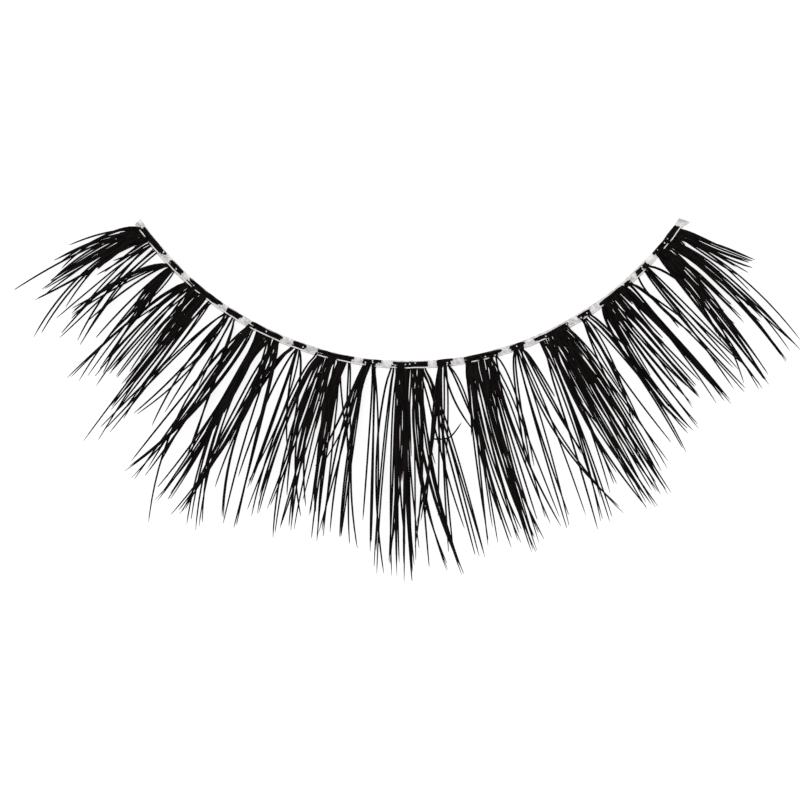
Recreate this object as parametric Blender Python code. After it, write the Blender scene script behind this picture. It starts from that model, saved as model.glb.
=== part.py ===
# False eyelash strip: a clear curved band that carries seventeen knotted clusters of lashes.
# Metres, +Z up. The strip lies on its band, with the lashes curling up and out from the arc.
# A place on it is given by its distance along the band from the middle, and by its distance
# out from the band's centre line. wrapped() bends these round the arc.

import math
from collections import namedtuple

import bmesh
import bpy
from mathutils import Vector

# Band
BAND_LENGTH = 0.034  # along the arc, from end to end
BAND_RADIUS = 0.0174  # of the arc's centre line
BAND_WIDTH = 0.0005
BAND_THICKNESS = 0.00012
BAND_BEVEL = 0.00006  # how far the top edges lean in
TAB_LENGTH = 0.0004  # of the clear cut tab past the last knot, which widens to its end
TAB_WIDTH = 0.00066
TAB_SLANT = 0.00016  # how far the outer corner of a cut end stands past the inner one
BAND_STEPS = 40

# Knots
KNOT_WIDTH = 0.0003
KNOT_HEIGHT = 0.00024
KNOT_INSET = 0.00005  # from the band's centre line towards the arc's hollow
KNOT_CLEARANCE = 0.00004  # between a knot and the band under it
KNOT_STEP = 0.0004  # along the band between a knot's cross-sections
KNOT_SIDES = 6
KNOT_END = 0.55  # how full a knot is at its ends
KNOT_COUNT = 17

# Lashes
LASH_LENGTH = 0.010  # a usual lash at the middle, out from the band
LASH_CURL = 0.0033  # how high such a lash lifts its tip
LOCK_WIDTH = 0.05  # of one hair, as a share of the knots' pitch
LOCK_SPREAD = 0.0275  # share of that pitch by which each further hair widens a lock
TIP_WIDTH = 0.00005
LOCK_THICKNESS = 0.00016
TAPER_START = 0.4  # share of a lock's reach where it starts to thin
ROOT_FULLNESS = 0.75  # share of its full width that a lock has at its root
LOCK_STAGGER = 0.000004  # height between neighbouring locks of a cluster, which fuse
LAYER_CLEARANCE = 0.00006  # between the locks of clusters that cross
LAYER_COUNT = 3
BELLY_GAP = 0.00075  # from the band's outer edge to where the locks reach their layer
CURL_START = 0.3  # share of LASH_LENGTH out to which they lie level
RING_STEP = 0.25  # share of LASH_LENGTH between a lock's cross-sections past there
SPLAY = 0.7  # below 1, a lock turns aside sooner near its root

HAIR_COLOUR = (0.011, 0.009, 0.009, 1.0)
BAND_COLOUR = (0.78, 0.72, 0.70, 1.0)

KNOT_PITCH = BAND_LENGTH / KNOT_COUNT
KNOT_BASE = BAND_THICKNESS + KNOT_CLEARANCE
ROOT_LEVEL = KNOT_BASE + KNOT_HEIGHT / 2
BAND_EDGE = BAND_WIDTH / 2
BELLY_START = BAND_EDGE + BELLY_GAP
LEVEL_REACH = CURL_START * LASH_LENGTH
RING_PITCH = RING_STEP * LASH_LENGTH
UP = Vector((0, 0, 1))

# One row for each cluster, from the arc's left end to its right: where its knot starts and
# ends, and its locks from left to right. foot, middle and tip are places along the band at a
# lock's root, half way out and end. These and the knots are shares of KNOT_PITCH. reach is
# how far out the tip lies, as a share of LASH_LENGTH. hairs is how many run in the lock.
Cluster = namedtuple("Cluster", "start end locks")
Lock = namedtuple("Lock", "foot middle tip reach hairs")

CLUSTERS = (
    Cluster(-8.45, -7.28, (
        Lock(-8.38, -8.86, -8.92, 0.40, 1), Lock(-8.36, -8.75, -8.72, 0.50, 4),
        Lock(-8.33, -8.72, -8.77, 0.78, 1), Lock(-8.30, -8.58, -8.58, 0.57, 4),
        Lock(-8.20, -8.38, -8.46, 0.63, 3), Lock(-8.09, -8.20, -8.30, 0.68, 3),
        Lock(-8.03, -8.15, -7.83, 0.80, 3), Lock(-7.88, -7.99, -7.90, 0.69, 2),
        Lock(-7.71, -7.60, -7.42, 0.71, 3), Lock(-7.64, -7.50, -7.22, 0.68, 3),
    )),
    Cluster(-7.18, -6.62, (
        Lock(-7.10, -7.66, -7.86, 0.57, 3), Lock(-7.08, -7.60, -7.72, 0.61, 2),
        Lock(-7.04, -7.30, -7.48, 0.55, 1), Lock(-7.00, -6.99, -6.94, 0.58, 2),
        Lock(-6.95, -6.89, -6.63, 0.78, 2), Lock(-6.90, -6.71, -6.48, 0.70, 4),
    )),
    Cluster(-6.50, -5.28, (
        Lock(-6.43, -6.86, -6.93, 0.82, 2), Lock(-6.38, -6.65, -6.60, 0.62, 3),
        Lock(-6.33, -6.50, -6.45, 0.75, 3), Lock(-6.27, -6.36, -6.31, 0.74, 3),
        Lock(-6.12, -6.02, -5.82, 1.01, 3), Lock(-6.05, -6.05, -6.03, 0.72, 3),
        Lock(-5.90, -5.88, -5.86, 0.86, 4), Lock(-5.68, -5.72, -5.75, 0.86, 3),
        Lock(-5.62, -5.70, -5.70, 0.91, 2),
    )),
    Cluster(-5.22, -4.65, (
        Lock(-5.14, -5.67, -5.85, 0.93, 2), Lock(-5.12, -5.52, -5.70, 0.91, 2),
        Lock(-5.08, -5.15, -5.48, 0.74, 2), Lock(-5.03, -5.12, -5.12, 0.67, 2),
        Lock(-4.98, -5.13, -5.00, 0.75, 2), Lock(-4.90, -4.84, -4.80, 0.45, 2),
        Lock(-4.84, -4.41, -4.20, 0.80, 2),
    )),
    Cluster(-4.50, -3.42, (
        Lock(-4.44, -4.80, -4.98, 0.96, 1), Lock(-4.40, -4.66, -4.80, 1.02, 4),
        Lock(-4.38, -4.60, -4.68, 0.93, 2), Lock(-4.30, -4.45, -5.02, 1.01, 2),
        Lock(-4.35, -4.75, -4.20, 1.21, 1), Lock(-4.15, -4.15, -4.40, 1.05, 4),
        Lock(-4.05, -4.10, -4.20, 1.04, 3), Lock(-3.92, -4.02, -3.65, 1.12, 3),
        Lock(-3.88, -3.95, -3.48, 1.10, 2), Lock(-3.75, -3.70, -4.05, 1.09, 2),
        Lock(-3.70, -3.75, -3.85, 1.08, 3), Lock(-3.60, -3.14, -2.92, 1.05, 3),
        Lock(-3.58, -3.35, -3.10, 1.05, 1),
    )),
    Cluster(-3.25, -2.78, (
        Lock(-3.17, -3.67, -3.80, 0.93, 2), Lock(-3.12, -3.58, -3.30, 1.02, 2),
        Lock(-3.02, -2.98, -3.03, 0.70, 2), Lock(-2.98, -2.64, -2.50, 0.60, 2),
    )),
    Cluster(-2.55, -1.48, (
        Lock(-2.48, -2.87, -2.90, 0.94, 2), Lock(-2.42, -2.78, -2.80, 0.91, 2),
        Lock(-2.30, -2.45, -2.60, 0.88, 3), Lock(-2.22, -2.47, -2.28, 1.02, 4),
        Lock(-2.12, -2.20, -2.00, 0.96, 3), Lock(-2.05, -2.22, -2.30, 0.95, 2),
        Lock(-1.88, -1.92, -1.78, 0.86, 3), Lock(-1.78, -1.76, -1.65, 1.00, 3),
        Lock(-1.68, -1.47, -1.22, 0.55, 2),
    )),
    Cluster(-1.33, -0.75, (
        Lock(-1.25, -1.58, -1.95, 0.60, 2), Lock(-1.20, -1.45, -1.50, 0.93, 2),
        Lock(-1.12, -1.24, -1.25, 0.97, 2), Lock(-1.06, -1.20, -1.00, 1.01, 2),
        Lock(-1.00, -0.90, -0.94, 0.84, 1), Lock(-0.97, -0.75, -0.70, 0.99, 3),
    )),
    Cluster(-0.53, 0.50, (
        Lock(-0.45, -0.63, -0.52, 1.13, 3), Lock(-0.40, -0.46, -0.33, 1.12, 3),
        Lock(-0.32, -0.28, -0.38, 1.06, 3), Lock(-0.22, -0.20, -0.17, 1.07, 4),
        Lock(-0.12, -0.12, -0.03, 1.14, 4), Lock(-0.02, -0.02, 0.10, 1.07, 3),
        Lock(0.10, 0.28, -0.02, 0.98, 2), Lock(0.12, 0.28, 0.32, 1.12, 2),
        Lock(0.16, 0.15, 0.65, 1.09, 2), Lock(0.22, 0.42, 0.92, 1.12, 3),
        Lock(0.30, 0.90, 1.18, 1.05, 3), Lock(0.28, 0.86, 1.03, 1.08, 1),
    )),
    Cluster(0.62, 1.15, (
        Lock(0.74, 0.43, 0.10, 0.85, 3), Lock(0.80, 0.69, 0.65, 1.05, 3),
        Lock(0.88, 0.78, 0.75, 0.50, 2), Lock(0.97, 1.26, 1.38, 0.42, 2),
    )),
    Cluster(1.35, 2.48, (
        Lock(1.50, 1.36, 1.35, 1.00, 4), Lock(1.52, 1.40, 1.50, 0.90, 3),
        Lock(1.58, 1.57, 1.75, 1.02, 3), Lock(1.66, 1.68, 1.83, 0.99, 3),
        Lock(1.85, 1.90, 2.08, 1.06, 4), Lock(1.95, 1.98, 2.15, 1.03, 3),
        Lock(2.05, 2.20, 2.30, 0.95, 3), Lock(2.18, 2.34, 2.50, 0.98, 3),
        Lock(2.25, 2.45, 2.40, 0.63, 2),
    )),
    Cluster(2.58, 3.12, (
        Lock(2.77, 2.48, 2.38, 0.63, 2), Lock(2.83, 2.68, 2.60, 1.04, 2),
        Lock(2.80, 2.74, 2.73, 0.98, 1), Lock(2.88, 2.98, 3.10, 0.97, 3),
        Lock(2.94, 3.06, 3.65, 1.03, 2), Lock(2.98, 3.26, 3.45, 0.68, 2),
        Lock(3.00, 3.28, 3.38, 0.32, 1),
    )),
    Cluster(3.28, 4.38, (
        Lock(3.48, 3.39, 3.20, 1.07, 3), Lock(3.52, 3.47, 3.28, 1.03, 2),
        Lock(3.56, 3.50, 3.40, 1.07, 2), Lock(3.68, 3.70, 3.65, 0.90, 4),
        Lock(3.76, 3.80, 4.02, 1.07, 3), Lock(3.88, 3.98, 4.15, 1.08, 3),
        Lock(3.98, 4.17, 4.28, 1.00, 3), Lock(4.10, 4.28, 4.35, 1.04, 3),
        Lock(4.20, 4.50, 4.38, 0.90, 2), Lock(4.28, 4.56, 4.60, 0.93, 3),
    )),
    Cluster(4.58, 5.04, (
        Lock(4.72, 4.55, 4.52, 0.45, 2), Lock(4.78, 4.72, 4.55, 0.65, 2),
        Lock(4.70, 4.78, 4.98, 0.85, 1), Lock(4.90, 5.18, 5.12, 0.90, 2),
        Lock(4.96, 5.17, 5.32, 0.28, 2),
    )),
    Cluster(5.25, 6.40, (
        Lock(5.45, 5.20, 5.30, 0.85, 3), Lock(5.48, 5.24, 5.20, 0.77, 2),
        Lock(5.52, 5.40, 5.48, 0.84, 2), Lock(5.58, 5.60, 5.57, 0.73, 3),
        Lock(5.68, 5.78, 5.92, 0.71, 3), Lock(5.82, 5.94, 6.00, 0.68, 2),
        Lock(6.00, 6.12, 6.08, 0.79, 4), Lock(6.10, 6.18, 6.20, 0.84, 4),
        Lock(6.20, 6.26, 6.27, 0.74, 3), Lock(6.28, 6.42, 6.45, 0.88, 2),
        Lock(6.32, 6.53, 6.62, 0.40, 2),
    )),
    Cluster(6.52, 7.02, (
        Lock(6.58, 6.47, 6.45, 0.45, 1), Lock(6.80, 6.62, 6.48, 0.85, 2),
        Lock(6.87, 6.70, 6.67, 0.76, 2), Lock(6.88, 6.80, 6.75, 0.75, 2),
        Lock(6.94, 7.10, 7.16, 0.22, 2),
    )),
    Cluster(7.20, 8.30, (
        Lock(7.37, 7.06, 6.80, 0.91, 5), Lock(7.40, 7.04, 6.63, 0.92, 1),
        Lock(7.47, 7.28, 6.90, 0.88, 4), Lock(7.55, 7.48, 7.40, 0.59, 3),
        Lock(7.62, 7.62, 7.65, 0.50, 2), Lock(7.68, 7.77, 7.42, 0.90, 3),
        Lock(7.78, 7.82, 7.60, 0.91, 2), Lock(7.85, 7.83, 7.78, 0.68, 3),
        Lock(7.92, 7.98, 7.72, 0.88, 2), Lock(8.02, 8.07, 8.12, 0.52, 3),
        Lock(8.08, 8.17, 8.22, 0.42, 2), Lock(8.12, 8.28, 8.40, 0.47, 3),
        Lock(8.20, 8.50, 8.65, 0.45, 4),
    )),
)
MOST_LOCKS = max(len(cluster.locks) for cluster in CLUSTERS)
LAYER_PITCH = LOCK_THICKNESS + LOCK_STAGGER * (MOST_LOCKS - 1) + LAYER_CLEARANCE


def wrapped(along, out, height):
    """The point at a distance along the band and out from its centre line."""
    angle = along / BAND_RADIUS
    radius = BAND_RADIUS + out
    return Vector((radius * math.sin(angle), -radius * math.cos(angle), height))


def swept(name, sections, material):
    """A closed solid through rings of points, each ring with as many points as the others."""
    mesh = bmesh.new()
    rings = [[mesh.verts.new(point) for point in section] for section in sections]
    sides = len(rings[0])
    for lower, upper in zip(rings, rings[1:]):
        for side in range(sides):
            after = (side + 1) % sides
            mesh.faces.new((lower[side], lower[after], upper[after], upper[side]))
    mesh.faces.new(rings[0][::-1])
    mesh.faces.new(rings[-1])
    bmesh.ops.recalc_face_normals(mesh, faces=mesh.faces)
    data = bpy.data.meshes.new(name)
    mesh.to_mesh(data)
    mesh.free()
    data.materials.append(material)
    piece = bpy.data.objects.new(name, data)
    bpy.context.scene.collection.objects.link(piece)
    return piece


def fused(head, branches):
    """Joins branches to head by one Boolean union and removes them."""
    bunch = bpy.data.collections.new(f"{head.name}_branches")
    bpy.context.scene.collection.children.link(bunch)
    for branch in branches:
        bunch.objects.link(branch)
    union = head.modifiers.new("union", "BOOLEAN")
    union.operation = "UNION"
    union.solver = "EXACT"
    union.operand_type = "COLLECTION"
    union.collection = bunch
    graph = bpy.context.evaluated_depsgraph_get()
    whole = bpy.data.meshes.new_from_object(head.evaluated_get(graph))
    head.modifiers.clear()
    head.data = whole
    for branch in branches:
        bpy.data.objects.remove(branch)
    bpy.data.collections.remove(bunch)
    return head


def finish(name, colour, roughness, transmission=0.0):
    """A Principled material."""
    material = bpy.data.materials.new(name)
    material.use_nodes = True
    shader = material.node_tree.nodes["Principled BSDF"]
    shader.inputs["Base Color"].default_value = colour
    shader.inputs["Roughness"].default_value = roughness
    shader.inputs["Metallic"].default_value = 0.0
    shader.inputs["Transmission Weight"].default_value = transmission
    return material


def band_section(along):
    """Four corners of the band at a distance along it, wider in the tabs at its ends."""
    past = max(0.0, abs(along) - (BAND_LENGTH / 2 - TAB_LENGTH)) / TAB_LENGTH
    half = (BAND_WIDTH + (TAB_WIDTH - BAND_WIDTH) * past) / 2
    slant = math.copysign(TAB_SLANT * past, along) / 2
    top = half - BAND_BEVEL
    return (
        wrapped(along - slant, -half, 0.0),
        wrapped(along + slant, half, 0.0),
        wrapped(along + slant, top, BAND_THICKNESS),
        wrapped(along - slant, -top, BAND_THICKNESS),
    )


def band(material):
    places = [BAND_LENGTH * (step / BAND_STEPS - 0.5) for step in range(BAND_STEPS + 1)]
    return swept("band", [band_section(along) for along in places], material)


def knot(name, cluster, material):
    """A bar of wound fibre ends that lies along the band, with rounded ends."""
    start, end = cluster.start * KNOT_PITCH, cluster.end * KNOT_PITCH
    steps = max(3, round((end - start) / KNOT_STEP))
    sections = []
    for step in range(steps + 1):
        share = step / steps
        fullness = KNOT_END if step in (0, steps) else 1.0
        along = start + (end - start) * share
        section = []
        for side in range(KNOT_SIDES):
            turn = 2 * math.pi * (side + 0.5) / KNOT_SIDES
            out = -KNOT_INSET + fullness * KNOT_WIDTH / 2 * math.cos(turn)
            rise = fullness * KNOT_HEIGHT / 2 * math.sin(turn)
            section.append(wrapped(along, out, ROOT_LEVEL + rise))
        sections.append(section)
    return swept(name, sections, material)


def along_lock(lock, out):
    """Where a lock lies along the band at a distance out, on a curve through its three places."""
    past = max(0.0, out - BAND_EDGE) / (lock.reach * LASH_LENGTH - BAND_EDGE)
    share = past ** SPLAY
    half = 0.5 ** SPLAY
    bend = (lock.middle - lock.foot - half * (lock.tip - lock.foot)) / (half * half - half)
    return (lock.foot + (lock.tip - lock.foot - bend) * share + bend * share * share) * KNOT_PITCH


def curled(out, layer):
    """Height of a layer's middle: level as far as LEVEL_REACH, then lifting ever more."""
    past = max(0.0, out - LEVEL_REACH) / (LASH_LENGTH - LEVEL_REACH)
    return LOCK_THICKNESS / 2 + layer * LAYER_PITCH + LASH_CURL * past * past


def level(out, layer):
    """Height of a lock's middle between the rings that all locks share, so that none cross."""
    if out <= BAND_EDGE:
        return ROOT_LEVEL
    if out < BELLY_START:
        share = (out - BAND_EDGE) / (BELLY_START - BAND_EDGE)
        return ROOT_LEVEL + share * (curled(BELLY_START, layer) - ROOT_LEVEL)
    if out < LEVEL_REACH:
        return curled(out, layer)
    ring = math.floor((out - LEVEL_REACH) / RING_PITCH)
    near = LEVEL_REACH + ring * RING_PITCH
    share = (out - near) / RING_PITCH
    return (1 - share) * curled(near, layer) + share * curled(near + RING_PITCH, layer)


def lock_stations(reach):
    """Distances out of a lock's cross-sections."""
    stations = [-KNOT_INSET, BAND_EDGE, BELLY_START, LEVEL_REACH]
    while stations[-1] + RING_PITCH < reach:
        stations.append(stations[-1] + RING_PITCH)
    return [out for out in stations if out < reach - RING_PITCH / 8] + [reach]


def lock_solid(name, lock, layer, stagger, material):
    """A flat tapering strip of hairs, from its knot to its tip."""
    reach = lock.reach * LASH_LENGTH
    full = (LOCK_WIDTH + LOCK_SPREAD * (lock.hairs - 1)) * KNOT_PITCH
    stations = lock_stations(reach)
    middles = [
        wrapped(along_lock(lock, out), out, level(out, layer) + stagger) for out in stations
    ]
    before = middles[:1] + middles[:-1]
    after = middles[1:] + middles[-1:]
    sections = []
    for out, middle, last, following in zip(stations, middles, before, after):
        share = max(0.0, out / reach)
        taper = 1 - max(0.0, share - TAPER_START) / (1 - TAPER_START)
        width = TIP_WIDTH + (full - TIP_WIDTH) * min(taper, ROOT_FULLNESS + share)
        thickness = TIP_WIDTH + (LOCK_THICKNESS - TIP_WIDTH) * taper
        across = (following - last).cross(UP).normalized() * width / 2
        up = UP * thickness / 2
        left, right = middle - across, middle + across
        sections.append((left - up, right - up, right + up, left + up))
    return swept(name, sections, material)


def lash_cluster(number, cluster, material):
    """A knot with its locks fused to it. Clusters that cross lie in layers of their own."""
    name = f"lash_cluster_{number:02d}"
    head = knot(name, cluster, material)
    layer = number % LAYER_COUNT
    locks = []
    for place, lock in enumerate(cluster.locks):
        stagger = LOCK_STAGGER * place
        locks.append(lock_solid(f"{name}_lock_{place + 1}", lock, layer, stagger, material))
    return fused(head, locks)


def centred(pieces):
    """Stands the strip's box over the origin, by an empty that carries the pieces."""
    corners = [vertex.co for piece in pieces for vertex in piece.data.vertices]
    lowest = [min(corner[axis] for corner in corners) for axis in range(3)]
    highest = [max(corner[axis] for corner in corners) for axis in range(3)]
    carrier = bpy.data.objects.new("strip_place", None)
    bpy.context.scene.collection.objects.link(carrier)
    for piece in pieces:
        piece.parent = carrier
    carrier.location.x = -(lowest[0] + highest[0]) / 2
    carrier.location.y = -(lowest[1] + highest[1]) / 2
    carrier.location.z = -lowest[2]


for leftover in list(bpy.data.objects):
    bpy.data.objects.remove(leftover)

clear_film = finish("clear_film", BAND_COLOUR, roughness=0.25, transmission=0.6)
black_fibre = finish("black_fibre", HAIR_COLOUR, roughness=0.35)
strip = [band(clear_film)]
strip += [lash_cluster(number, row, black_fibre) for number, row in enumerate(CLUSTERS, 1)]
centred(strip)
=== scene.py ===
import math
import random
from collections import namedtuple

import bpy
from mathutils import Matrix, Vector


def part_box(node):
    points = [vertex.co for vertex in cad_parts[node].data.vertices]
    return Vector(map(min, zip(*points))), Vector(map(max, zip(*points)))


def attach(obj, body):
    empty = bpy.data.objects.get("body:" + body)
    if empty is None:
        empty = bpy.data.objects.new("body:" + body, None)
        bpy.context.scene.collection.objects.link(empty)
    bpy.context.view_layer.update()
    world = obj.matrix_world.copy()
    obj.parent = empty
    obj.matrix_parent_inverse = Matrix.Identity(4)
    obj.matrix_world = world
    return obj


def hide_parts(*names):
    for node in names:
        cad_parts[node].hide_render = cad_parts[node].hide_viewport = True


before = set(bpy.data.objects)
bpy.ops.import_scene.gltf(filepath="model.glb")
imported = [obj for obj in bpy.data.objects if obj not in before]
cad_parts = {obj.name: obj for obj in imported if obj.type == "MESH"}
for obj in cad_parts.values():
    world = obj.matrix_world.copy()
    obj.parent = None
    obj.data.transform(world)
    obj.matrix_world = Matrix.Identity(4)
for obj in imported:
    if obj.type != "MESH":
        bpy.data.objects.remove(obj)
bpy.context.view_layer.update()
print("frame loaded")

# Places are given along the band from its middle and out from its centre line.
strip = {
    "bandLength": 0.034,  # along the arc
    "bandRadius": 0.0174,
    "bandWidth": 0.0005,
    "knotCount": 17,
}
knotPitch = strip["bandLength"] / strip["knotCount"]
bandEdge = strip["bandWidth"] / 2
bandLow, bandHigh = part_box("band")
arcCentre = Vector((
    (bandLow.x + bandHigh.x) / 2, bandLow.y + strip["bandRadius"] + bandEdge, 0.0,
))


def onStrip(along, out, height):  # bends a place on the strip round its arc
    angle = along / strip["bandRadius"]
    radius = strip["bandRadius"] + out
    return arcCentre + Vector((radius * math.sin(angle), -radius * math.cos(angle), height))


def smooth(share):  # eases from 0 to 1
    share = min(1.0, max(0.0, share))
    return share * share * (3 - 2 * share)


def openSocket(sockets, name):  # some nodes have a socket of one name for each type, and show one
    return next(socket for socket in sockets if socket.name == name and socket.enabled)


def addNode(tree, kind, settings=None, **inputs):
    node = tree.nodes.new(kind)
    for name, value in (settings or {}).items():
        setattr(node, name, value)
    for name, value in inputs.items():
        socket = openSocket(node.inputs, name.replace("_", " "))
        if isinstance(value, bpy.types.NodeSocket):
            tree.links.new(value, socket)
        else:
            socket.default_value = value
    return node


# Finishes

def newFinish(name):
    finish = bpy.data.materials.new(name)
    finish.use_nodes = True
    return finish, finish.node_tree, finish.node_tree.nodes["Principled BSDF"]


def colourRamp(tree, share, ends):  # each end is a place from 0 to 1 and the colour there
    ramp = addNode(tree, "ShaderNodeValToRGB", Fac=share)
    for element, (place, colour) in zip(ramp.color_ramp.elements, ends):
        element.position = place
        element.color = colour
    return ramp.outputs["Color"]


fibreLook = {
    "core": (0.0015, 0.0012, 0.0012, 1.0),
    "coreUpTo": 0.42,
    "paintedSheen": (0.0095, 0.0065, 0.0060, 1.0),  # painted sheen: brown streaks along the hairs, standing in for their shine
    "paintedSheenFrom": 0.72,
    "streaksAlong": 5.0,
    "streaksAcross": 40.0,
    "streakDetail": 3.0,
    "roughness": 0.55,
    "gloss": 0.03,
    "bumpDepth": 0.000004,
}


def blackFibre():
    finish, tree, shader = newFinish("blackFibre")
    along = addNode(tree, "ShaderNodeAttribute", {"attribute_name": "along"})
    tone = addNode(tree, "ShaderNodeAttribute", {"attribute_name": "tone"})
    where = addNode(tree, "ShaderNodeCombineXYZ", X=along.outputs["Fac"], Y=tone.outputs["Fac"])
    stretch = addNode(
        tree, "ShaderNodeVectorMath", {"operation": "MULTIPLY"}, Vector=where.outputs["Vector"],
    )
    stretch.inputs[1].default_value = (fibreLook["streaksAlong"], fibreLook["streaksAcross"], 1.0)
    streaks = addNode(
        tree, "ShaderNodeTexNoise", Vector=stretch.outputs["Vector"],
        Scale=1.0, Detail=fibreLook["streakDetail"],
    )
    # the brown streaks are a painted sheen over the hairs' near-black colour
    colour = colourRamp(tree, streaks.outputs["Fac"], (
        (fibreLook["coreUpTo"], fibreLook["core"]), (fibreLook["paintedSheenFrom"], fibreLook["paintedSheen"]),
    ))
    tree.links.new(colour, shader.inputs["Base Color"])
    bump = addNode(
        tree, "ShaderNodeBump", Height=streaks.outputs["Fac"], Distance=fibreLook["bumpDepth"],
    )
    tree.links.new(bump.outputs["Normal"], shader.inputs["Normal"])
    shader.inputs["Roughness"].default_value = fibreLook["roughness"]
    shader.inputs["Specular IOR Level"].default_value = fibreLook["gloss"]
    return finish


filmLook = {
    "clear": (0.70, 0.66, 0.66, 1.0),
    "clearFrom": 0.56,
    "cloudy": (0.15, 0.12, 0.12, 1.0),  # glue and creases in the film
    "cloudyUpTo": 0.36,
    "cloudScale": 3600.0,
    "cloudDetail": 4.0,
    "cloudRoughness": 0.6,
    "alpha": 0.42,
    "roughness": 0.22,
    "bumpDepth": 0.00001,
}


def clearFilm():
    finish, tree, shader = newFinish("clearFilm")
    place = addNode(tree, "ShaderNodeTexCoord")
    clouds = addNode(
        tree, "ShaderNodeTexNoise", Vector=place.outputs["Object"],
        Scale=filmLook["cloudScale"], Detail=filmLook["cloudDetail"],
        Roughness=filmLook["cloudRoughness"],
    )
    colour = colourRamp(tree, clouds.outputs["Fac"], (
        (filmLook["cloudyUpTo"], filmLook["cloudy"]), (filmLook["clearFrom"], filmLook["clear"]),
    ))
    tree.links.new(colour, shader.inputs["Base Color"])
    bump = addNode(
        tree, "ShaderNodeBump", Height=clouds.outputs["Fac"], Distance=filmLook["bumpDepth"],
    )
    tree.links.new(bump.outputs["Normal"], shader.inputs["Normal"])
    shader.inputs["Roughness"].default_value = filmLook["roughness"]
    shader.inputs["Alpha"].default_value = filmLook["alpha"]
    return finish


threadLook = {
    "middle": (0.78, 0.76, 0.76, 1.0),
    "middleUpTo": 0.10,
    "edge": (0.14, 0.12, 0.12, 1.0),  # painted shade: darker edges, where the clear thread bends the light
    "edgeFrom": 0.55,
    "edgeBlend": 0.35,
    "alpha": 0.6,
    "roughness": 0.12,
}


def clearThread():
    finish, tree, shader = newFinish("clearThread")
    # painted shade: the thread's colour darkens where its surface turns away from the eye
    facing = addNode(tree, "ShaderNodeLayerWeight", Blend=threadLook["edgeBlend"])
    colour = colourRamp(tree, facing.outputs["Facing"], (
        (threadLook["middleUpTo"], threadLook["middle"]), (threadLook["edgeFrom"], threadLook["edge"]),
    ))
    tree.links.new(colour, shader.inputs["Base Color"])
    shader.inputs["Roughness"].default_value = threadLook["roughness"]
    shader.inputs["Alpha"].default_value = threadLook["alpha"]
    return finish


finishes = {"fibre": blackFibre(), "film": clearFilm(), "thread": clearThread()}
print("finishes made")


# Fibres: a tree that grows a bunch of tapered hairs along each guide line

fibreShape = {
    "taper": ((0.0, 0.9), (0.1, 1.0), (0.7, 0.95), (0.9, 0.72), (1.0, 0.2)),  # from root to tip
    "slot": (0.1, 0.9),  # where a hair lies within its own share of the lock's width
    "strayPower": 2.0,  # the higher, the nearer its tip a hair strays
}
fibreInputs = (
    ("Guides", "Geometry"), ("Fibre Diameter", "Float"), ("Diameter Spread", "Float"),
    ("Sides", "Int"), ("Short Share", "Float"), ("Ragged Share", "Float"), ("Bow", "Float"),
    ("Stray", "Float"), ("Seed", "Int"), ("Finish", "Material"),
)


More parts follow.
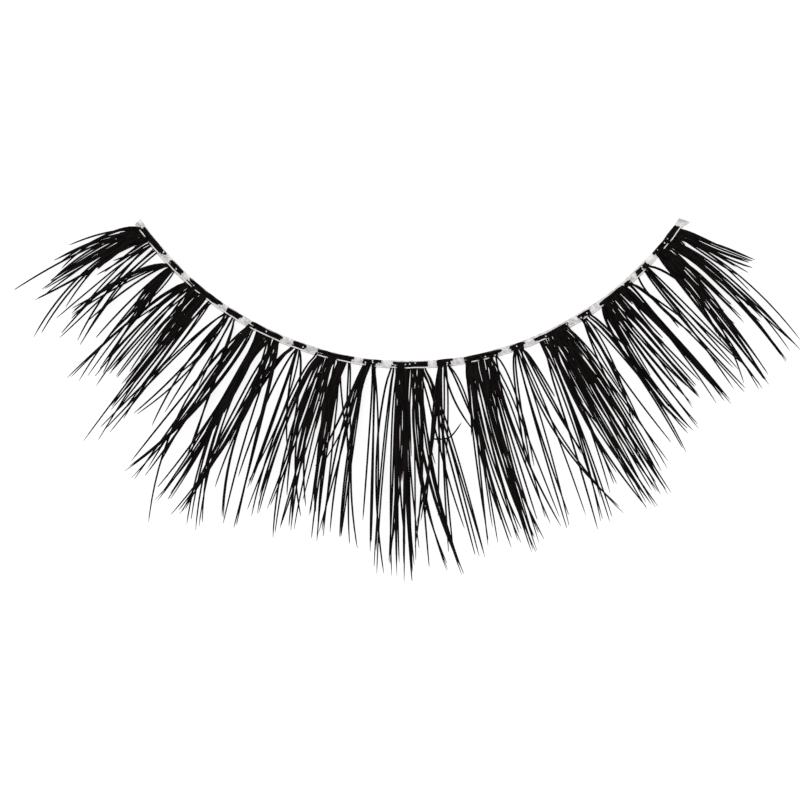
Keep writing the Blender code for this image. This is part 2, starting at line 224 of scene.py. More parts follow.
def fibreTree():
    tree = bpy.data.node_groups.new("fibresOnGuides", "GeometryNodeTree")
    face = tree.interface
    for title, kind in fibreInputs:
        face.new_socket(title, in_out="INPUT", socket_type=f"NodeSocket{kind}")
    face.new_socket("Fibres", in_out="OUTPUT", socket_type="NodeSocketGeometry")
    given = tree.nodes.new("NodeGroupInput").outputs

    def named(name, kind):
        node = addNode(tree, "GeometryNodeInputNamedAttribute", {"data_type": kind}, Name=name)
        return openSocket(node.outputs, "Attribute")

    def sums(operation, first, second, third=None):
        node = tree.nodes.new("ShaderNodeMath")
        node.operation = operation
        for socket, value in zip(node.inputs, (first, second, third)):
            if isinstance(value, bpy.types.NodeSocket):
                tree.links.new(value, socket)
            elif value is not None:
                socket.default_value = value
        return node.outputs["Value"]

    def chance(lowest, highest, kind="FLOAT", shift=0):  # each draw has a shift of its own
        seed = sums("ADD", given["Seed"], shift)
        node = addNode(
            tree, "FunctionNodeRandomValue", {"data_type": kind},
            Min=lowest, Max=highest, Seed=seed,
        )
        return openSocket(node.outputs, "Value")

    def stored(geometry, name, kind, value):
        node = addNode(
            tree, "GeometryNodeStoreNamedAttribute", {"data_type": kind, "domain": "CURVE"},
            Geometry=geometry, Name=name, Value=value,
        )
        return node.outputs["Geometry"]

    # one copy of a guide for each of its fibres, spread evenly across it
    lines = addNode(tree, "GeometryNodeMeshToCurve", Mesh=given["Guides"])
    count = named("fibreCount", "INT")
    copies = addNode(
        tree, "GeometryNodeDuplicateElements", {"domain": "SPLINE"},
        Geometry=lines.outputs["Curve"], Amount=count,
    )
    step = sums("ADD", copies.outputs["Duplicate Index"], chance(*fibreShape["slot"]))
    side = sums("MULTIPLY_ADD", sums("DIVIDE", step, count), 2.0, -1.0)
    bunch = stored(copies.outputs["Geometry"], "side", "FLOAT", side)
    whim = chance((-1.0, -1.0, -1.0), (1.0, 1.0, 1.0), "FLOAT_VECTOR", shift=1)
    bunch = stored(bunch, "whim", "FLOAT_VECTOR", whim)
    bunch = stored(bunch, "tone", "FLOAT", chance(0.0, 1.0, shift=2))
    bunch = stored(bunch, "rootWhim", "FLOAT", chance(-1.0, 1.0, shift=6))
    bunch = stored(bunch, "tipSide", "FLOAT", chance(-1.0, 1.0, shift=7))

    # each fibre's own way: its place across the lock, which changes from root to tip, its bow,
    # its stray end and its height
    whims = addNode(tree, "ShaderNodeSeparateXYZ", Vector=named("whim", "FLOAT_VECTOR")).outputs
    along = named("along", "FLOAT")
    loose = named("loose", "FLOAT")
    hump = sums("MULTIPLY", sums("MULTIPLY", along, sums("SUBTRACT", 1.0, along)), 4.0)
    rootSide = named("side", "FLOAT")
    swapped = sums("MULTIPLY", sums("SUBTRACT", named("tipSide", "FLOAT"), rootSide), along)
    sideNow = sums("MULTIPLY_ADD", swapped, loose, rootSide)
    spread = sums("MULTIPLY", sideNow, named("halfWidth", "FLOAT"))
    bow = sums("MULTIPLY", sums("MULTIPLY", whims["X"], given["Bow"]), hump)
    late = sums("POWER", along, fibreShape["strayPower"])
    stray = sums("MULTIPLY", sums("MULTIPLY", whims["Y"], given["Stray"]), late)
    foot = sums("MULTIPLY_ADD", named("rootWhim", "FLOAT"), named("rootWidth", "FLOAT"), spread)
    aside = sums("MULTIPLY_ADD", sums("ADD", bow, stray), named("wander", "FLOAT"), foot)
    sideways = addNode(
        tree, "ShaderNodeVectorMath", {"operation": "SCALE"},
        Vector=named("across", "FLOAT_VECTOR"), Scale=aside,
    )
    lift = sums("MULTIPLY", whims["Z"], named("halfHeight", "FLOAT"))
    upward = addNode(tree, "ShaderNodeCombineXYZ", Z=lift)
    shift = addNode(tree, "ShaderNodeVectorMath", {"operation": "ADD"})
    tree.links.new(sideways.outputs["Vector"], shift.inputs[0])
    tree.links.new(upward.outputs["Vector"], shift.inputs[1])
    moved = addNode(
        tree, "GeometryNodeSetPosition",
        Geometry=bunch, Offset=shift.outputs["Vector"],
    )

    # hairs end unevenly, and a knot's fibres start unevenly too
    tight = sums("SUBTRACT", 1.0, loose)
    start = sums("MULTIPLY", sums("MULTIPLY", tight, given["Ragged Share"]), chance(0.0, 1.0, shift=3))
    cut = sums("MULTIPLY", chance(0.0, 1.0, shift=4), given["Short Share"])
    cutTight = sums("MULTIPLY", chance(0.0, 1.0, shift=5), given["Ragged Share"])
    shorter = sums("ADD", sums("MULTIPLY", cut, loose), sums("MULTIPLY", cutTight, tight))
    end = sums("SUBTRACT", 1.0, shorter)
    trimmed = addNode(
        tree, "GeometryNodeTrimCurve", {"mode": "FACTOR"},
        Curve=moved.outputs["Geometry"], Start=start, End=end,
    )

    # thickness
    place = addNode(tree, "GeometryNodeSplineParameter")
    taper = addNode(tree, "ShaderNodeFloatCurve", Value=place.outputs["Factor"])
    points = taper.mapping.curves[0].points
    first, *between, last = fibreShape["taper"]
    points[0].location = first
    points[1].location = last
    for location in between:
        points.new(*location)
    taper.mapping.update()
    shape = sums("MULTIPLY_ADD", loose, sums("SUBTRACT", taper.outputs["Value"], 1.0), 1.0)
    own = sums("MULTIPLY_ADD", whims["X"], given["Diameter Spread"], 1.0)
    usual = sums("MULTIPLY", given["Fibre Diameter"], 0.5)
    radius = sums("MULTIPLY", usual, sums("MULTIPLY", shape, own))
    ring = addNode(
        tree, "GeometryNodeCurvePrimitiveCircle", Resolution=given["Sides"], Radius=1.0,
    )
    tubes = addNode(
        tree, "GeometryNodeCurveToMesh", Curve=trimmed.outputs["Curve"],
        Profile_Curve=ring.outputs["Curve"], Scale=radius, Fill_Caps=True,
    )
    shaded = addNode(tree, "GeometryNodeSetShadeSmooth", Geometry=tubes.outputs["Mesh"])
    whole = addNode(tree, "GeometryNodeRealizeInstances", Geometry=shaded.outputs["Geometry"])
    done = addNode(
        tree, "GeometryNodeSetMaterial", Geometry=whole.outputs["Geometry"], Material=given["Finish"],
    )
    ends = tree.nodes.new("NodeGroupOutput")
    tree.links.new(done.outputs["Geometry"], ends.inputs["Fibres"])
    return tree


fibres = fibreTree()
calmLength = 0.005  # shorter hairs bow and stray less
Guide = namedtuple("Guide", "points acrosses halfWidths rootWidths halfHeight count loose")


def acrossOf(points):  # level directions square to a line
    before = points[:1] + points[:-1]
    after = points[1:] + points[-1:]
    return [(b - a).cross(Vector((0, 0, 1))).normalized() for a, b in zip(before, after)]


def growFibres(name, guides, settings):
    points, edges, table = [], [], []
    for guide in guides:
        last = len(guide.points) - 1
        reach = (guide.points[-1] - guide.points[0]).length
        wander = guide.loose * min(1.0, reach / calmLength)
        for step, point in enumerate(guide.points):
            if step:
                edges.append((len(points) - 1, len(points)))
            points.append(point)
            table.append((
                guide.acrosses[step], step / last, guide.halfWidths[step], guide.rootWidths[step],
                guide.halfHeight, guide.loose, wander, guide.count,
            ))
    mesh = bpy.data.meshes.new(name)
    mesh.from_pydata(points, edges, [])
    columns = list(zip(*table))
    mesh.attributes.new("across", "FLOAT_VECTOR", "POINT").data.foreach_set(
        "vector", [value for across in columns[0] for value in across])
    titles = ("along", "halfWidth", "rootWidth", "halfHeight", "loose", "wander")
    for place, title in enumerate(titles, 1):
        mesh.attributes.new(title, "FLOAT", "POINT").data.foreach_set("value", columns[place])
    mesh.attributes.new("fibreCount", "INT", "POINT").data.foreach_set("value", columns[-1])
    piece = bpy.data.objects.new(name, mesh)
    bpy.context.scene.collection.objects.link(piece)
    grower = piece.modifiers.new("fibres", "NODES")
    grower.node_group = fibres
    for item in fibres.interface.items_tree:
        if item.in_out == "INPUT" and item.name in settings:
            grower[item.identifier] = settings[item.name]
    graph = bpy.context.evaluated_depsgraph_get()
    grown = bpy.data.meshes.new_from_object(piece.evaluated_get(graph))
    piece.modifiers.clear()
    piece.data = grown
    # the finish reads only along and tone
    for title in [attribute.name for attribute in grown.attributes]:
        if title in titles[1:] + ("across", "fibreCount", "side", "tipSide", "whim", "rootWhim"):
            grown.attributes.remove(grown.attributes[title])
    return piece


# Lash clusters: one row for each, from the arc's left end to its right. It gives where its knot
# starts and ends, and its locks, roughly from left to right. foot, middle and tip are places along
# the band at a lock's root, half way out and end. These and the knots' ends are counted in
# knotPitch. reach is how far out the tip lies, as a share of a usual lash. hairs is how many run the
# lock's whole length.
Cluster = namedtuple("Cluster", "start end locks")
Lock = namedtuple("Lock", "foot middle tip reach hairs")

clusterChart = (
    Cluster(-8.45, -7.28, (
        Lock(-8.25, -8.72, -8.86, 0.40, 1), Lock(-8.22, -8.62, -8.68, 0.50, 3),
        Lock(-8.20, -8.64, -8.76, 0.78, 1), Lock(-8.18, -8.50, -8.55, 0.57, 4),
        Lock(-8.20, -8.38, -8.46, 0.63, 3), Lock(-8.09, -8.20, -8.30, 0.68, 2),
        Lock(-8.03, -8.15, -7.83, 0.80, 2), Lock(-7.88, -7.99, -7.90, 0.69, 1),
        Lock(-7.71, -7.60, -7.42, 0.71, 2), Lock(-7.64, -7.50, -7.22, 0.68, 3),
    )),
    Cluster(-7.18, -6.62, (
        Lock(-7.10, -7.66, -7.86, 0.57, 2), Lock(-7.08, -7.60, -7.72, 0.61, 2),
        Lock(-7.04, -7.30, -7.48, 0.55, 1), Lock(-7.00, -6.99, -6.94, 0.58, 2),
        Lock(-6.95, -6.89, -6.63, 0.78, 2), Lock(-6.90, -6.71, -6.48, 0.70, 2),
    )),
    Cluster(-6.50, -5.28, (
        Lock(-6.43, -6.86, -6.93, 0.82, 2), Lock(-6.38, -6.65, -6.60, 0.62, 2),
        Lock(-6.33, -6.50, -6.45, 0.75, 2), Lock(-6.27, -6.36, -6.31, 0.66, 4),
        Lock(-6.12, -6.02, -5.82, 1.01, 2), Lock(-6.05, -6.05, -6.03, 0.66, 4),
        Lock(-5.90, -5.88, -5.86, 0.80, 4), Lock(-5.68, -5.72, -5.75, 0.80, 4),
        Lock(-5.62, -5.70, -5.70, 0.91, 1),
    )),
    Cluster(-5.22, -4.65, (
        Lock(-5.14, -5.67, -5.85, 0.93, 1), Lock(-5.12, -5.52, -5.70, 0.91, 1),
        Lock(-5.08, -5.15, -5.48, 0.74, 2), Lock(-5.03, -5.12, -5.12, 0.67, 1),
        Lock(-4.98, -5.13, -5.00, 0.75, 1), Lock(-4.90, -4.84, -4.80, 0.45, 2),
        Lock(-4.84, -4.41, -4.20, 0.80, 2),
    )),
    Cluster(-4.50, -3.42, (
        Lock(-4.44, -4.80, -4.98, 0.96, 1), Lock(-4.40, -4.66, -4.80, 1.02, 3),
        Lock(-4.38, -4.60, -4.68, 0.93, 3), Lock(-4.30, -4.45, -5.02, 1.01, 2),
        Lock(-4.35, -4.75, -4.20, 1.21, 1), Lock(-4.15, -4.15, -4.40, 1.05, 4),
        Lock(-4.05, -4.10, -4.20, 1.04, 4), Lock(-3.92, -4.02, -3.65, 1.12, 3),
        Lock(-3.88, -3.95, -3.48, 1.10, 2), Lock(-3.75, -3.70, -4.05, 1.09, 2),
        Lock(-3.70, -3.75, -3.85, 1.08, 3), Lock(-3.60, -3.14, -2.92, 1.05, 3),
        Lock(-3.58, -3.35, -3.10, 1.05, 1),
    )),
    Cluster(-3.25, -2.78, (
        Lock(-3.17, -3.67, -3.80, 0.93, 2), Lock(-3.12, -3.58, -3.30, 1.02, 2),
        Lock(-3.02, -2.98, -3.03, 0.80, 3), Lock(-2.98, -2.64, -2.50, 0.60, 2),
    )),
    Cluster(-2.55, -1.48, (
        Lock(-2.48, -2.87, -2.90, 0.94, 2), Lock(-2.42, -2.78, -2.80, 0.91, 3),
        Lock(-2.30, -2.45, -2.60, 0.88, 2), Lock(-2.22, -2.47, -2.28, 1.02, 2),
        Lock(-2.12, -2.20, -2.00, 0.96, 4), Lock(-2.05, -2.22, -2.30, 0.95, 2),
        Lock(-1.88, -1.92, -1.78, 0.86, 4), Lock(-1.78, -1.76, -1.65, 1.00, 4),
        Lock(-1.68, -1.47, -1.22, 0.55, 2),
    )),
    Cluster(-1.33, -0.75, (
        Lock(-1.25, -1.58, -1.95, 0.60, 3), Lock(-1.20, -1.45, -1.50, 0.93, 3),
        Lock(-1.12, -1.24, -1.25, 0.97, 2), Lock(-1.06, -1.20, -1.00, 1.01, 2),
        Lock(-1.00, -0.90, -0.94, 0.84, 1), Lock(-0.97, -0.75, -0.70, 0.99, 3),
    )),
    Cluster(-0.53, 0.50, (
        Lock(-0.45, -0.63, -0.52, 1.13, 3), Lock(-0.40, -0.46, -0.33, 1.12, 2),
        Lock(-0.32, -0.28, -0.38, 1.06, 3), Lock(-0.22, -0.20, -0.17, 1.07, 4),
        Lock(-0.12, -0.12, -0.03, 1.14, 4), Lock(-0.02, -0.02, 0.10, 1.07, 3),
        Lock(0.10, 0.28, -0.02, 0.98, 1), Lock(0.12, 0.28, 0.32, 1.12, 1),
        Lock(0.16, 0.15, 0.65, 1.09, 3), Lock(0.22, 0.42, 0.92, 1.12, 5),
        Lock(0.30, 0.90, 1.18, 1.05, 3), Lock(0.28, 0.86, 1.03, 1.08, 1),
    )),
    Cluster(0.62, 1.15, (
        Lock(0.74, 0.43, 0.10, 0.85, 3), Lock(0.80, 0.69, 0.65, 1.05, 2),
        Lock(0.88, 0.78, 0.75, 0.50, 2), Lock(0.97, 1.26, 1.38, 0.42, 2),
    )),
    Cluster(1.35, 2.48, (
        Lock(1.50, 1.36, 1.35, 1.00, 3), Lock(1.52, 1.40, 1.50, 0.90, 3),
        Lock(1.58, 1.57, 1.75, 1.02, 3), Lock(1.66, 1.68, 1.83, 0.99, 3),
        Lock(1.85, 1.90, 2.08, 1.06, 5), Lock(1.95, 1.98, 2.15, 1.03, 5),
        Lock(2.05, 2.20, 2.30, 0.95, 3), Lock(2.18, 2.34, 2.50, 0.98, 2),
        Lock(2.25, 2.45, 2.40, 0.63, 1),
    )),
    Cluster(2.58, 3.12, (
        Lock(2.77, 2.48, 2.38, 0.63, 2), Lock(2.83, 2.68, 2.60, 1.04, 2),
        Lock(2.80, 2.74, 2.73, 0.98, 1), Lock(2.88, 2.98, 3.10, 0.97, 1),
        Lock(2.94, 3.06, 3.65, 1.03, 2), Lock(2.98, 3.26, 3.45, 0.68, 2),
        Lock(3.00, 3.28, 3.38, 0.32, 1),
    )),
    Cluster(3.28, 4.38, (
        Lock(3.48, 3.39, 3.20, 1.07, 2), Lock(3.52, 3.47, 3.28, 1.03, 1),
        Lock(3.56, 3.50, 3.40, 1.07, 2), Lock(3.68, 3.70, 3.65, 0.90, 4),
        Lock(3.76, 3.80, 4.02, 1.07, 4), Lock(3.88, 3.98, 4.15, 1.08, 3),
        Lock(3.98, 4.17, 4.28, 1.00, 4), Lock(4.10, 4.28, 4.35, 1.04, 5),
        Lock(4.20, 4.42, 4.38, 0.90, 2), Lock(4.28, 4.53, 4.60, 0.93, 2),
    )),
    Cluster(4.58, 5.04, (
        Lock(4.72, 4.55, 4.52, 0.45, 2), Lock(4.78, 4.72, 4.55, 0.65, 2),
        Lock(4.70, 4.78, 4.98, 0.85, 1), Lock(4.90, 5.18, 5.12, 0.90, 2),
        Lock(4.96, 5.17, 5.32, 0.28, 2),
    )),
    Cluster(5.25, 6.40, (
        Lock(5.45, 5.20, 5.30, 0.85, 3), Lock(5.48, 5.24, 5.20, 0.77, 1),
        Lock(5.52, 5.40, 5.48, 0.84, 3), Lock(5.58, 5.60, 5.57, 0.73, 2),
        Lock(5.68, 5.78, 5.92, 0.71, 3), Lock(5.82, 5.94, 6.00, 0.68, 3),
        Lock(6.00, 6.12, 6.08, 0.79, 5), Lock(6.10, 6.18, 6.20, 0.84, 4),
        Lock(6.20, 6.26, 6.27, 0.74, 2), Lock(6.28, 6.42, 6.45, 0.88, 1),
        Lock(6.32, 6.53, 6.62, 0.40, 1),
    )),
    Cluster(6.52, 7.02, (
        Lock(6.58, 6.47, 6.45, 0.45, 1), Lock(6.80, 6.62, 6.48, 0.85, 2),
        Lock(6.87, 6.70, 6.67, 0.76, 2), Lock(6.88, 6.80, 6.75, 0.75, 2),
        Lock(6.94, 7.10, 7.16, 0.22, 2),
    )),
    Cluster(7.20, 8.30, (
        Lock(7.37, 7.06, 6.80, 0.91, 5), Lock(7.40, 7.04, 6.63, 0.92, 1),
        Lock(7.47, 7.28, 6.90, 0.88, 4), Lock(7.55, 7.48, 7.40, 0.59, 3),
        Lock(7.62, 7.62, 7.65, 0.50, 2), Lock(7.68, 7.77, 7.42, 0.90, 3),
        Lock(7.78, 7.82, 7.60, 0.91, 2), Lock(7.85, 7.83, 7.78, 0.68, 3),
        Lock(7.92, 7.98, 7.72, 0.88, 2), Lock(8.02, 8.07, 8.12, 0.52, 1),
        Lock(8.02, 8.12, 8.18, 0.42, 1), Lock(8.06, 8.22, 8.36, 0.47, 2),
        Lock(8.11, 8.38, 8.60, 0.45, 5),
    )),
)

lashes = {
    "usualLength": 0.010,
    "curl": 0.0033,  # how high a usual lash lifts its tip
    "curlStart": 0.3,  # share of that length out to which they lie level
    "splay": 0.7,  # below 1, a lock turns aside sooner near its root
    "rootOut": 0.00002,  # out from the band's centre line, where the hairs start in their knot
    "rootHeight": 0.00028,
    "bellyStart": 0.0010,  # out from the band to where a lock reaches its layer
    "bottomLayer": 0.00008,
    "layerPitch": 0.000268,  # between the layers of clusters that cross
    "layerCount": 3,
    "lockSpread": 0.062,  # what each further hair adds to a lock's width, as a share of knotPitch
    "cores": {  # by cluster, the places of its dense locks in the chart, the densest ones twice
        1: (2, 4, 6, 7, 8), 2: (5, 6), 3: (2, 5, 6, 7, 7), 4: (3,), 5: (7, 8, 9, 10),
        7: (5, 7, 7, 8), 8: (2,), 9: (3, 4, 5, 5, 10), 11: (2, 3, 5, 6, 7), 13: (5, 7, 8, 8),
        15: (1, 3, 5, 6, 7, 7), 17: (1, 3, 4, 6, 8, 13),
    },
    "coreHairs": 5,  # that many shorter hairs fill a dense lock
    "coreReach": (0.12, 0.65),  # of the lock's own reach
    "coreSpread": 0.05,  # to each side of the lock, as a share of knotPitch
    "coreFoot": 0.7,  # how much of that is left at a hair's foot
    "manyLocks": 7,  # a cluster with more locks than this is a large one
    "rootScatter": (0.03, 0.12),  # in small and large clusters, a foot's stray as a share of the knot
    "scatterBeside": 0.4,  # no more than this share of the way to the knot's end
    "scatterEnd": 0.0026,  # out to here the strayed feet find their way back
    "lockHalfHeight": 0.00003,
    "openAtRoot": 0.4,  # how far a lock has opened at its root, before it is eased
    "openRate": 1.5,
    "gatherStart": 0.45,  # share of its length from which a lock gathers again
    "tipGather": 0.6,  # how wide a lock is at its tip, as a share of its full width
    "guideSteps": 18,
    "stepEasing": 1.2,  # above 1, the steps are shorter near the root
}
crossing = {
    "perGap": (  # by cluster, how many hairs pass over between two neighbouring locks, on average
        0.3, 0.2, 0.1, 0.2, 0.3, 0.8, 0.9, 0.3, 0.4, 0.9, 0.2, 0.1, 0.6, 0.5, 0.3, 0.3, 0.3,
    ),
    "rightward": 0.5,  # the chance that one passes to the right
    "foot": (0.0, 0.5),  # how far over it is at its foot, as a share of the way to the other lock
    "middle": (0.2, 0.7),
    "tip": (0.6, 1.1),
    "reach": (0.85, 1.0),  # of the shorter lock's reach
}
lashFibres = {
    "Fibre Diameter": 0.000103,
    "Diameter Spread": 0.12,
    "Sides": 7,
    "Short Share": 0.08,
    "Ragged Share": 0.09,
    "Bow": 0.00024,
    "Stray": 0.00036,
    "Finish": finishes["fibre"],
}
knots = {
    "bundles": (
        {"out": -0.00010, "halfWidth": 0.00006, "fibres": 4, "missing": 0.0},
        {"out": 0.00002, "halfWidth": 0.00005, "fibres": 4, "missing": 0.14},
    ),
    "height": 0.00027,
    "halfHeight": 0.00004,
    "waver": 0.00003,
    "waverPitch": 0.0004,
    "inset": 0.00007,  # at each end
    "pinch": 0.5,  # how much of its width a bundle loses towards its ends
    "pinchPower": 4,  # the higher, the nearer the ends
    "furthest": 0.01655,  # along the band, so that the tabs stay clear
    "aside": (  # how far each knot lies outwards of its usual place
        0.0, 0.00002, 0.0, 0.0, 0.0, 0.0, 0.0, -0.00001, 0.0, 0.0, 0.00002, 0.00002,
        0.00006, 0.00004, 0.00009, 0.00003, 0.0,
    ),
    "step": 0.0001,  # along the band between the points of its guide
    "fewestSteps": 4,
}


def waveringLine(seed, amplitude, pitch):  # a smooth random line as a function of its place
    dice = random.Random(seed)
    knotValues = [dice.uniform(-1, 1) for _ in range(int(strip["bandLength"] / pitch) + 4)]

    def value(along):
        place = (along + strip["bandLength"] / 2) / pitch + 1
        first = max(0, min(len(knotValues) - 2, int(place)))
        blend = smooth(place - first)
        return amplitude * (knotValues[first] * (1 - blend) + knotValues[first + 1] * blend)

    return value


def alongLock(lock, out):  # where a lock lies along the band, on a curve through its three places
    past = max(0.0, out - bandEdge) / (lock.reach * lashes["usualLength"] - bandEdge)
    share = past ** lashes["splay"]
    half = 0.5 ** lashes["splay"]
    bend = (lock.middle - lock.foot - half * (lock.tip - lock.foot)) / (half * half - half)
    return (lock.foot + (lock.tip - lock.foot - bend) * share + bend * share * share) * knotPitch


def lashHeight(out, layer):
    level = lashes["curlStart"] * lashes["usualLength"]
    past = max(0.0, out - level) / (lashes["usualLength"] - level)
    curled = lashes["bottomLayer"] + layer * lashes["layerPitch"] + lashes["curl"] * past * past
    down = smooth((out - bandEdge) / (lashes["bellyStart"] - bandEdge))
    return lashes["rootHeight"] + (curled - lashes["rootHeight"]) * down


def lockGuide(lock, layer, cluster):
    reach = lock.reach * lashes["usualLength"]
    full = lashes["lockSpread"] * (lock.hairs - 1) * knotPitch / 2
    large = len(cluster.locks) > lashes["manyLocks"]
    scatter = lashes["rootScatter"][large] * (cluster.end - cluster.start)
    beside = min(lock.foot - cluster.start, cluster.end - lock.foot)
    scatter = knotPitch * min(scatter, beside * lashes["scatterBeside"])
    points, halfWidths, rootWidths = [], [], []
    for step in range(lashes["guideSteps"] + 1):
        share = (step / lashes["guideSteps"]) ** lashes["stepEasing"]
        out = lashes["rootOut"] + (reach - lashes["rootOut"]) * share
        points.append(onStrip(alongLock(lock, out), out, lashHeight(out, layer)))
        opened = smooth(lashes["openAtRoot"] + lashes["openRate"] * share)
        closing = smooth((share - lashes["gatherStart"]) / (1 - lashes["gatherStart"]))
        gathered = 1 - (1 - lashes["tipGather"]) * closing
        halfWidths.append(full * opened * gathered)
        rootWidths.append(scatter * (1 - smooth(out / lashes["scatterEnd"])))
    return Guide(
        points, acrossOf(points), halfWidths, rootWidths, lashes["lockHalfHeight"], lock.hairs, 1.0,
    )


def crossingHairs(cluster, number, dice):  # single hairs that pass from one lock over to the next
    hairs = []
    for first, second in zip(cluster.locks, cluster.locks[1:]):
        for _ in range(int(crossing["perGap"][number - 1] + dice.random())):
            rightward = dice.random() < crossing["rightward"]
            start, end = (first, second) if rightward else (second, first)
            turn = dice.uniform(*crossing["middle"])
            over = dice.uniform(*crossing["tip"])
            hairs.append(Lock(
                start.foot + (end.foot - start.foot) * dice.uniform(*crossing["foot"]),
                start.middle + (end.middle - start.middle) * turn,
                start.tip + (end.tip - start.tip) * over,
                min(start.reach, end.reach) * dice.uniform(*crossing["reach"]), 1,
            ))
    return hairs


def coreHairs(cluster, number, dice):  # shorter hairs that fill the dense locks near their roots
    cores = []
    for place in lashes["cores"].get(number, ()):
        lock = cluster.locks[place - 1]
        for _ in range(lashes["coreHairs"]):
            share = dice.uniform(*lashes["coreReach"])
            aside = dice.uniform(-1, 1) * lashes["coreSpread"]
            out = lock.reach * lashes["usualLength"] * share
            middle = alongLock(lock, out / 2) / knotPitch + aside
            tip = alongLock(lock, out) / knotPitch + aside
            foot = lock.foot + aside * lashes["coreFoot"]
            cores.append(Lock(foot, middle, tip, lock.reach * share, 1))
    return cores


def knotGuides(cluster, number, dice):  # a whole bundle, and a shorter one beside it
    length = (cluster.end - cluster.start) * knotPitch
    aside = knots["aside"][number - 1]
    guides = []
    for bundle in knots["bundles"]:
        waver = waveringLine(dice.random(), knots["waver"], knots["waverPitch"])
        missing = length * bundle["missing"]
        start = cluster.start * knotPitch + knots["inset"] + missing * dice.random()
        end = cluster.end * knotPitch - knots["inset"] - missing * dice.random()
        start = max(start, -knots["furthest"])
        end = min(end, knots["furthest"])
        steps = max(knots["fewestSteps"], round((end - start) / knots["step"]))
        places = [start + (end - start) * step / steps for step in range(steps + 1)]
        points = [
            onStrip(along, bundle["out"] + aside + waver(along), knots["height"])
            for along in places
        ]
        widths = [
            bundle["halfWidth"] * (1 - knots["pinch"] * (2 * step / steps - 1) ** knots["pinchPower"])
            for step in range(steps + 1)
        ]
        guides.append(Guide(
            points, acrossOf(points), widths, [0.0] * len(points), knots["halfHeight"],
            bundle["fibres"], 0.0,
        ))
    return guides


for number, cluster in enumerate(clusterChart, 1):
    dice = random.Random(number)
    layer = number % lashes["layerCount"]
    locks = list(cluster.locks) + crossingHairs(cluster, number, dice)
    locks += coreHairs(cluster, number, dice)
    guides = [lockGuide(lock, layer, cluster) for lock in locks]
    guides += knotGuides(cluster, number, dice)
    piece = growFibres(f"lashes_{number:02d}", guides, {**lashFibres, "Seed": number * 10})
    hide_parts(f"lash_cluster_{number:02d}")
    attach(piece, "root")
print("lash clusters grown")

# The stray hair that lies over the tenth cluster: places along and out, and its height
looseHair = {
    "places": ((0.00091, 0.00390), (0.00118, 0.00397), (0.00168, 0.00388), (0.00223, 0.00321)),
    "height": 0.00056,
    "diameter": 0.000085,
    "stepsBetween": 5,
    "seed": 3,
}


def throughPlaces(places, steps):  # a smooth line through given places
    padded = (places[0],) + tuple(places) + (places[-1],)
    line = []
    for a, b, c, d in zip(padded, padded[1:], padded[2:], padded[3:]):
        for step in range(steps):
            t = step / steps
            line.append(tuple(
                0.5 * (2 * q + (r - p) * t + (2 * p - 5 * q + 4 * r - s) * t * t
                       + (3 * q - p - 3 * r + s) * t ** 3)
                for p, q, r, s in zip(a, b, c, d)
            ))
    return line + [tuple(places[-1])]


hairLine = [
    onStrip(along, out, looseHair["height"])
    for along, out in throughPlaces(looseHair["places"], looseHair["stepsBetween"])
]
flat = [0.0] * len(hairLine)
hairGuide = Guide(hairLine, acrossOf(hairLine), flat, flat, 0.0, 1, 1.0)
stray = growFibres("loose_hair", [hairGuide], {
    **lashFibres, "Fibre Diameter": looseHair["diameter"], "Bow": 0.0, "Stray": 0.0,
    "Short Share": 0.0, "Seed": looseHair["seed"],
})
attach(stray, "root")
print("loose hair laid")

# Band: the clear film, and the clear thread that ties the knots to its outer edge
film = {
    "innerEdge": -0.00022,
    "outerEdge": 0.00021,
    "thickness": 0.00012,
    "edgeShare": 0.55,  # of that thickness is left at the two edges
    "domePower": 4,  # the higher, the flatter between the edges
    "waver": 0.000018,  # of its trimmed edges
    "waverPitch": 0.0009,
    "tabLength": 0.0005,
    "flares": (-0.00004, 0.00017),  # of the left and right tab: the right one spreads outwards
    "slants": (-0.00010, 0.00016),  # how much further its outer edge runs than its inner one
    "past": (-0.00002, -0.00005),  # how far it runs past the arc's end
    "steps": 260,
    "columns": 6,
    "seed": 4,
}


def filmBand():
    inner = waveringLine(film["seed"], film["waver"], film["waverPitch"])
    outer = waveringLine(film["seed"] + 1, film["waver"], film["waverPitch"])
    half = strip["bandLength"] / 2
    vertices, faces = [], []
    ringLength = 2 * (film["columns"] + 1)
    for step in range(film["steps"] + 1):
        along = -half + 2 * half * step / film["steps"]
        tab = smooth((abs(along) - half + film["tabLength"]) / film["tabLength"])
        flare, slant, past = (film[name][along > 0] for name in ("flares", "slants", "past"))
        low = film["innerEdge"] + inner(along)
        high = film["outerEdge"] + outer(along) + flare * tab
        ring = []
        for column in range(film["columns"] + 1):
            share = column / film["columns"]
            out = low + (high - low) * share
            lean = along + math.copysign(1.0, along) * (slant * (share - 0.5) + past) * tab
            level = 1 - (2 * share - 1) ** film["domePower"]
            dome = film["thickness"] * (film["edgeShare"] + (1 - film["edgeShare"]) * level)
            ring.append((lean, out, dome))
        vertices += [onStrip(lean, out, 0.0) for lean, out, dome in ring]
        vertices += [onStrip(lean, out, dome) for lean, out, dome in reversed(ring)]
        if step:
            first = step * ringLength
            for side in range(ringLength):
                after = (side + 1) % ringLength
                faces.append((
                    first - ringLength + side, first - ringLength + after, first + after, first + side,
                ))
    faces.append(tuple(range(ringLength))[::-1])
    faces.append(tuple(range(len(vertices) - ringLength, len(vertices))))
    mesh = bpy.data.meshes.new("clear_band")
    mesh.from_pydata(vertices, [], faces)
    mesh.shade_smooth()
    mesh.materials.append(finishes["film"])
    piece = bpy.data.objects.new("clear_band", mesh)
    bpy.context.scene.collection.objects.link(piece)
    return piece


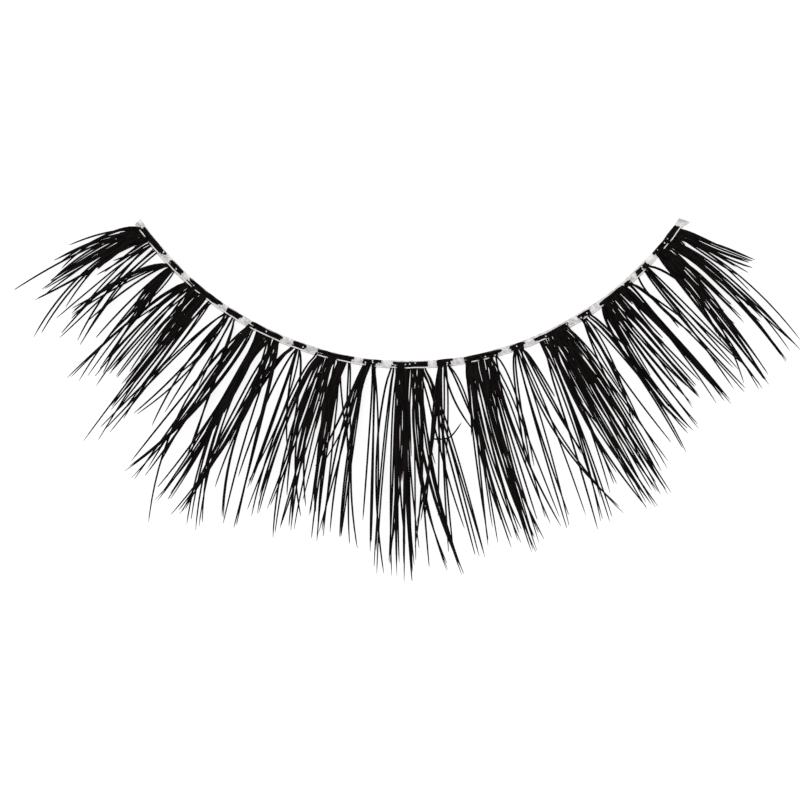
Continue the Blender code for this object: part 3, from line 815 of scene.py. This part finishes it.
thread = {
    "out": 0.000140,
    "overHairs": 0.00041,  # height of its middle where it passes over the hairs
    "underHairs": 0.00019,
    "between": 0.00020,
    "over": (  # share of each cluster's hairs that it passes over
        0.75, 0.85, 0.8, 0.9, 0.7, 0.8, 0.5, 0.6, 0.45, 0.5, 0.4, 0.5, 0.3, 0.4, 0.3, 0.6, 0.6,
    ),
    "weavePitch": 0.00035,
    "weaveSharpness": 2.5,  # the higher, the sooner it is wholly over or under the hairs
    "nibs": 40,  # little stitches of it that show on the knots
    "plainClusters": 7,  # from the left, these have one nib each, and the spare ones go to the others
    "nibMargin": 0.05,  # from the knot's ends, as a share of knotPitch
    "nibInward": 0.00022,
    "nibLength": (0.00004, 0.00012),
    "nibSlant": 0.00008,
    "waver": 0.00002,
    "waverPitch": 0.0004,
    "steps": 340,
    "inset": 0.00035,  # at each end
    "ease": 0.00025,  # how far from a knot it comes down
    "seed": 7,
    "nibSeed": 23,
}
threadFibres = {
    "Fibre Diameter": 0.00008,
    "Diameter Spread": 0.0,
    "Sides": 10,
    "Short Share": 0.0,
    "Ragged Share": 0.0,
    "Bow": 0.0,
    "Stray": 0.0,
    "Seed": 1,
    "Finish": finishes["thread"],
}


def threadGuide():
    waver = waveringLine(thread["seed"], thread["waver"], thread["waverPitch"])
    weave = waveringLine(thread["seed"] + 1, 1.0, thread["weavePitch"])
    half = strip["bandLength"] / 2 - thread["inset"]
    points = []
    for step in range(thread["steps"] + 1):
        along = -half + 2 * half * step / thread["steps"]
        nearest, over = min(
            (max(row.start * knotPitch - along, along - row.end * knotPitch), over)
            for row, over in zip(clusterChart, thread["over"])
        )
        up = smooth(0.5 + thread["weaveSharpness"] * (weave(along) / 2 + over - 0.5))
        held = thread["underHairs"] + (thread["overHairs"] - thread["underHairs"]) * up
        height = held + (thread["between"] - held) * smooth(nearest / thread["ease"])
        points.append(onStrip(along, thread["out"] + waver(along), height))
    flat = [0.0] * len(points)
    return Guide(points, acrossOf(points), flat, flat, 0.0, 1, 0.0)


def nibGuides():
    dice = random.Random(thread["nibSeed"])
    nibs = []
    for place in range(thread["nibs"]):
        if place < len(clusterChart):
            row = clusterChart[place]
        else:
            row = dice.choice(clusterChart[thread["plainClusters"]:])
        margin = thread["nibMargin"]
        along = knotPitch * dice.uniform(row.start + margin, row.end - margin)
        out = thread["out"] - dice.random() * thread["nibInward"]
        length = dice.uniform(*thread["nibLength"])
        slant = dice.uniform(-1, 1) * thread["nibSlant"]
        points = [
            onStrip(along + slant * share, out - length * share, thread["overHairs"])
            for share in (0.0, 0.5, 1.0)
        ]
        flat = [0.0] * len(points)
        nibs.append(Guide(points, acrossOf(points), flat, flat, 0.0, 1, 1.0))
    return nibs


band = filmBand()
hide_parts("band")
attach(band, "root")
tie = growFibres("clear_thread", [threadGuide()] + nibGuides(), threadFibres)
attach(tie, "root")
print("band made")

# Table, light and camera. The photograph looks straight down.
studio = {
    "tableHalfSide": 0.8,
    "tableGap": 0.00001,
    "tableRoughness": 0.8,
    "tableColour": (0.20, 0.20, 0.20, 1.0),
    "tableGlow": 0.85,  # the strip lies on a lit table, so it throws hardly any shadow
    "skyStrength": 1.0,
    "lampSize": 0.5,
    "lampPower": 2.5,
    "lampPlace": (-0.25, 0.25, 0.7),
    "pictureWidth": 0.0422,  # of the table, as the photograph shows it
    "pictureCentre": (-0.000106, -0.000030),
    "pictureTurn": 0.00575,  # the strip lies this far round in it, in radians
    "cameraHeight": 1.2,
    "cameraSees": 10.0,  # no further than this
    "sensor": 36.0,
}


def setStudio():
    half = studio["tableHalfSide"]
    mesh = bpy.data.meshes.new("tableTop")
    corners = ((-half, -half), (half, -half), (half, half), (-half, half))
    mesh.from_pydata([(x, y, -studio["tableGap"]) for x, y in corners], [], [(0, 1, 2, 3)])
    finish, tree, shader = newFinish("paleTable")
    shader.inputs["Base Color"].default_value = studio["tableColour"]
    shader.inputs["Roughness"].default_value = studio["tableRoughness"]
    shader.inputs["Specular IOR Level"].default_value = 0.0
    shader.inputs["Emission Color"].default_value = (1.0, 1.0, 1.0, 1.0)
    shader.inputs["Emission Strength"].default_value = studio["tableGlow"]
    mesh.materials.append(finish)
    table = bpy.data.objects.new("tableTop", mesh)
    bpy.context.scene.collection.objects.link(table)

    sky = bpy.data.worlds.new("softSky")
    sky.use_nodes = True
    background = sky.node_tree.nodes["Background"]
    background.inputs["Color"].default_value = (1.0, 1.0, 1.0, 1.0)
    background.inputs["Strength"].default_value = studio["skyStrength"]
    bpy.context.scene.world = sky

    lamp = bpy.data.lights.new("softLamp", "AREA")
    lamp.size = studio["lampSize"]
    lamp.energy = studio["lampPower"]
    lampObject = bpy.data.objects.new("softLamp", lamp)
    lampObject.location = studio["lampPlace"]
    lampObject.rotation_euler = (-Vector(studio["lampPlace"])).to_track_quat("-Z", "Y").to_euler()
    bpy.context.scene.collection.objects.link(lampObject)

    eye = bpy.data.cameras.new("camera")
    eye.sensor_width = studio["sensor"]
    eye.lens = studio["sensor"] * studio["cameraHeight"] / studio["pictureWidth"]
    eye.clip_end = studio["cameraSees"]
    camera = bpy.data.objects.new("camera", eye)
    camera.location = (*studio["pictureCentre"], studio["cameraHeight"])
    camera.rotation_euler = (0.0, 0.0, -studio["pictureTurn"])
    bpy.context.scene.collection.objects.link(camera)
    bpy.context.scene.camera = camera
    bpy.context.scene.view_settings.view_transform = "Standard"


setStudio()
print("studio set")
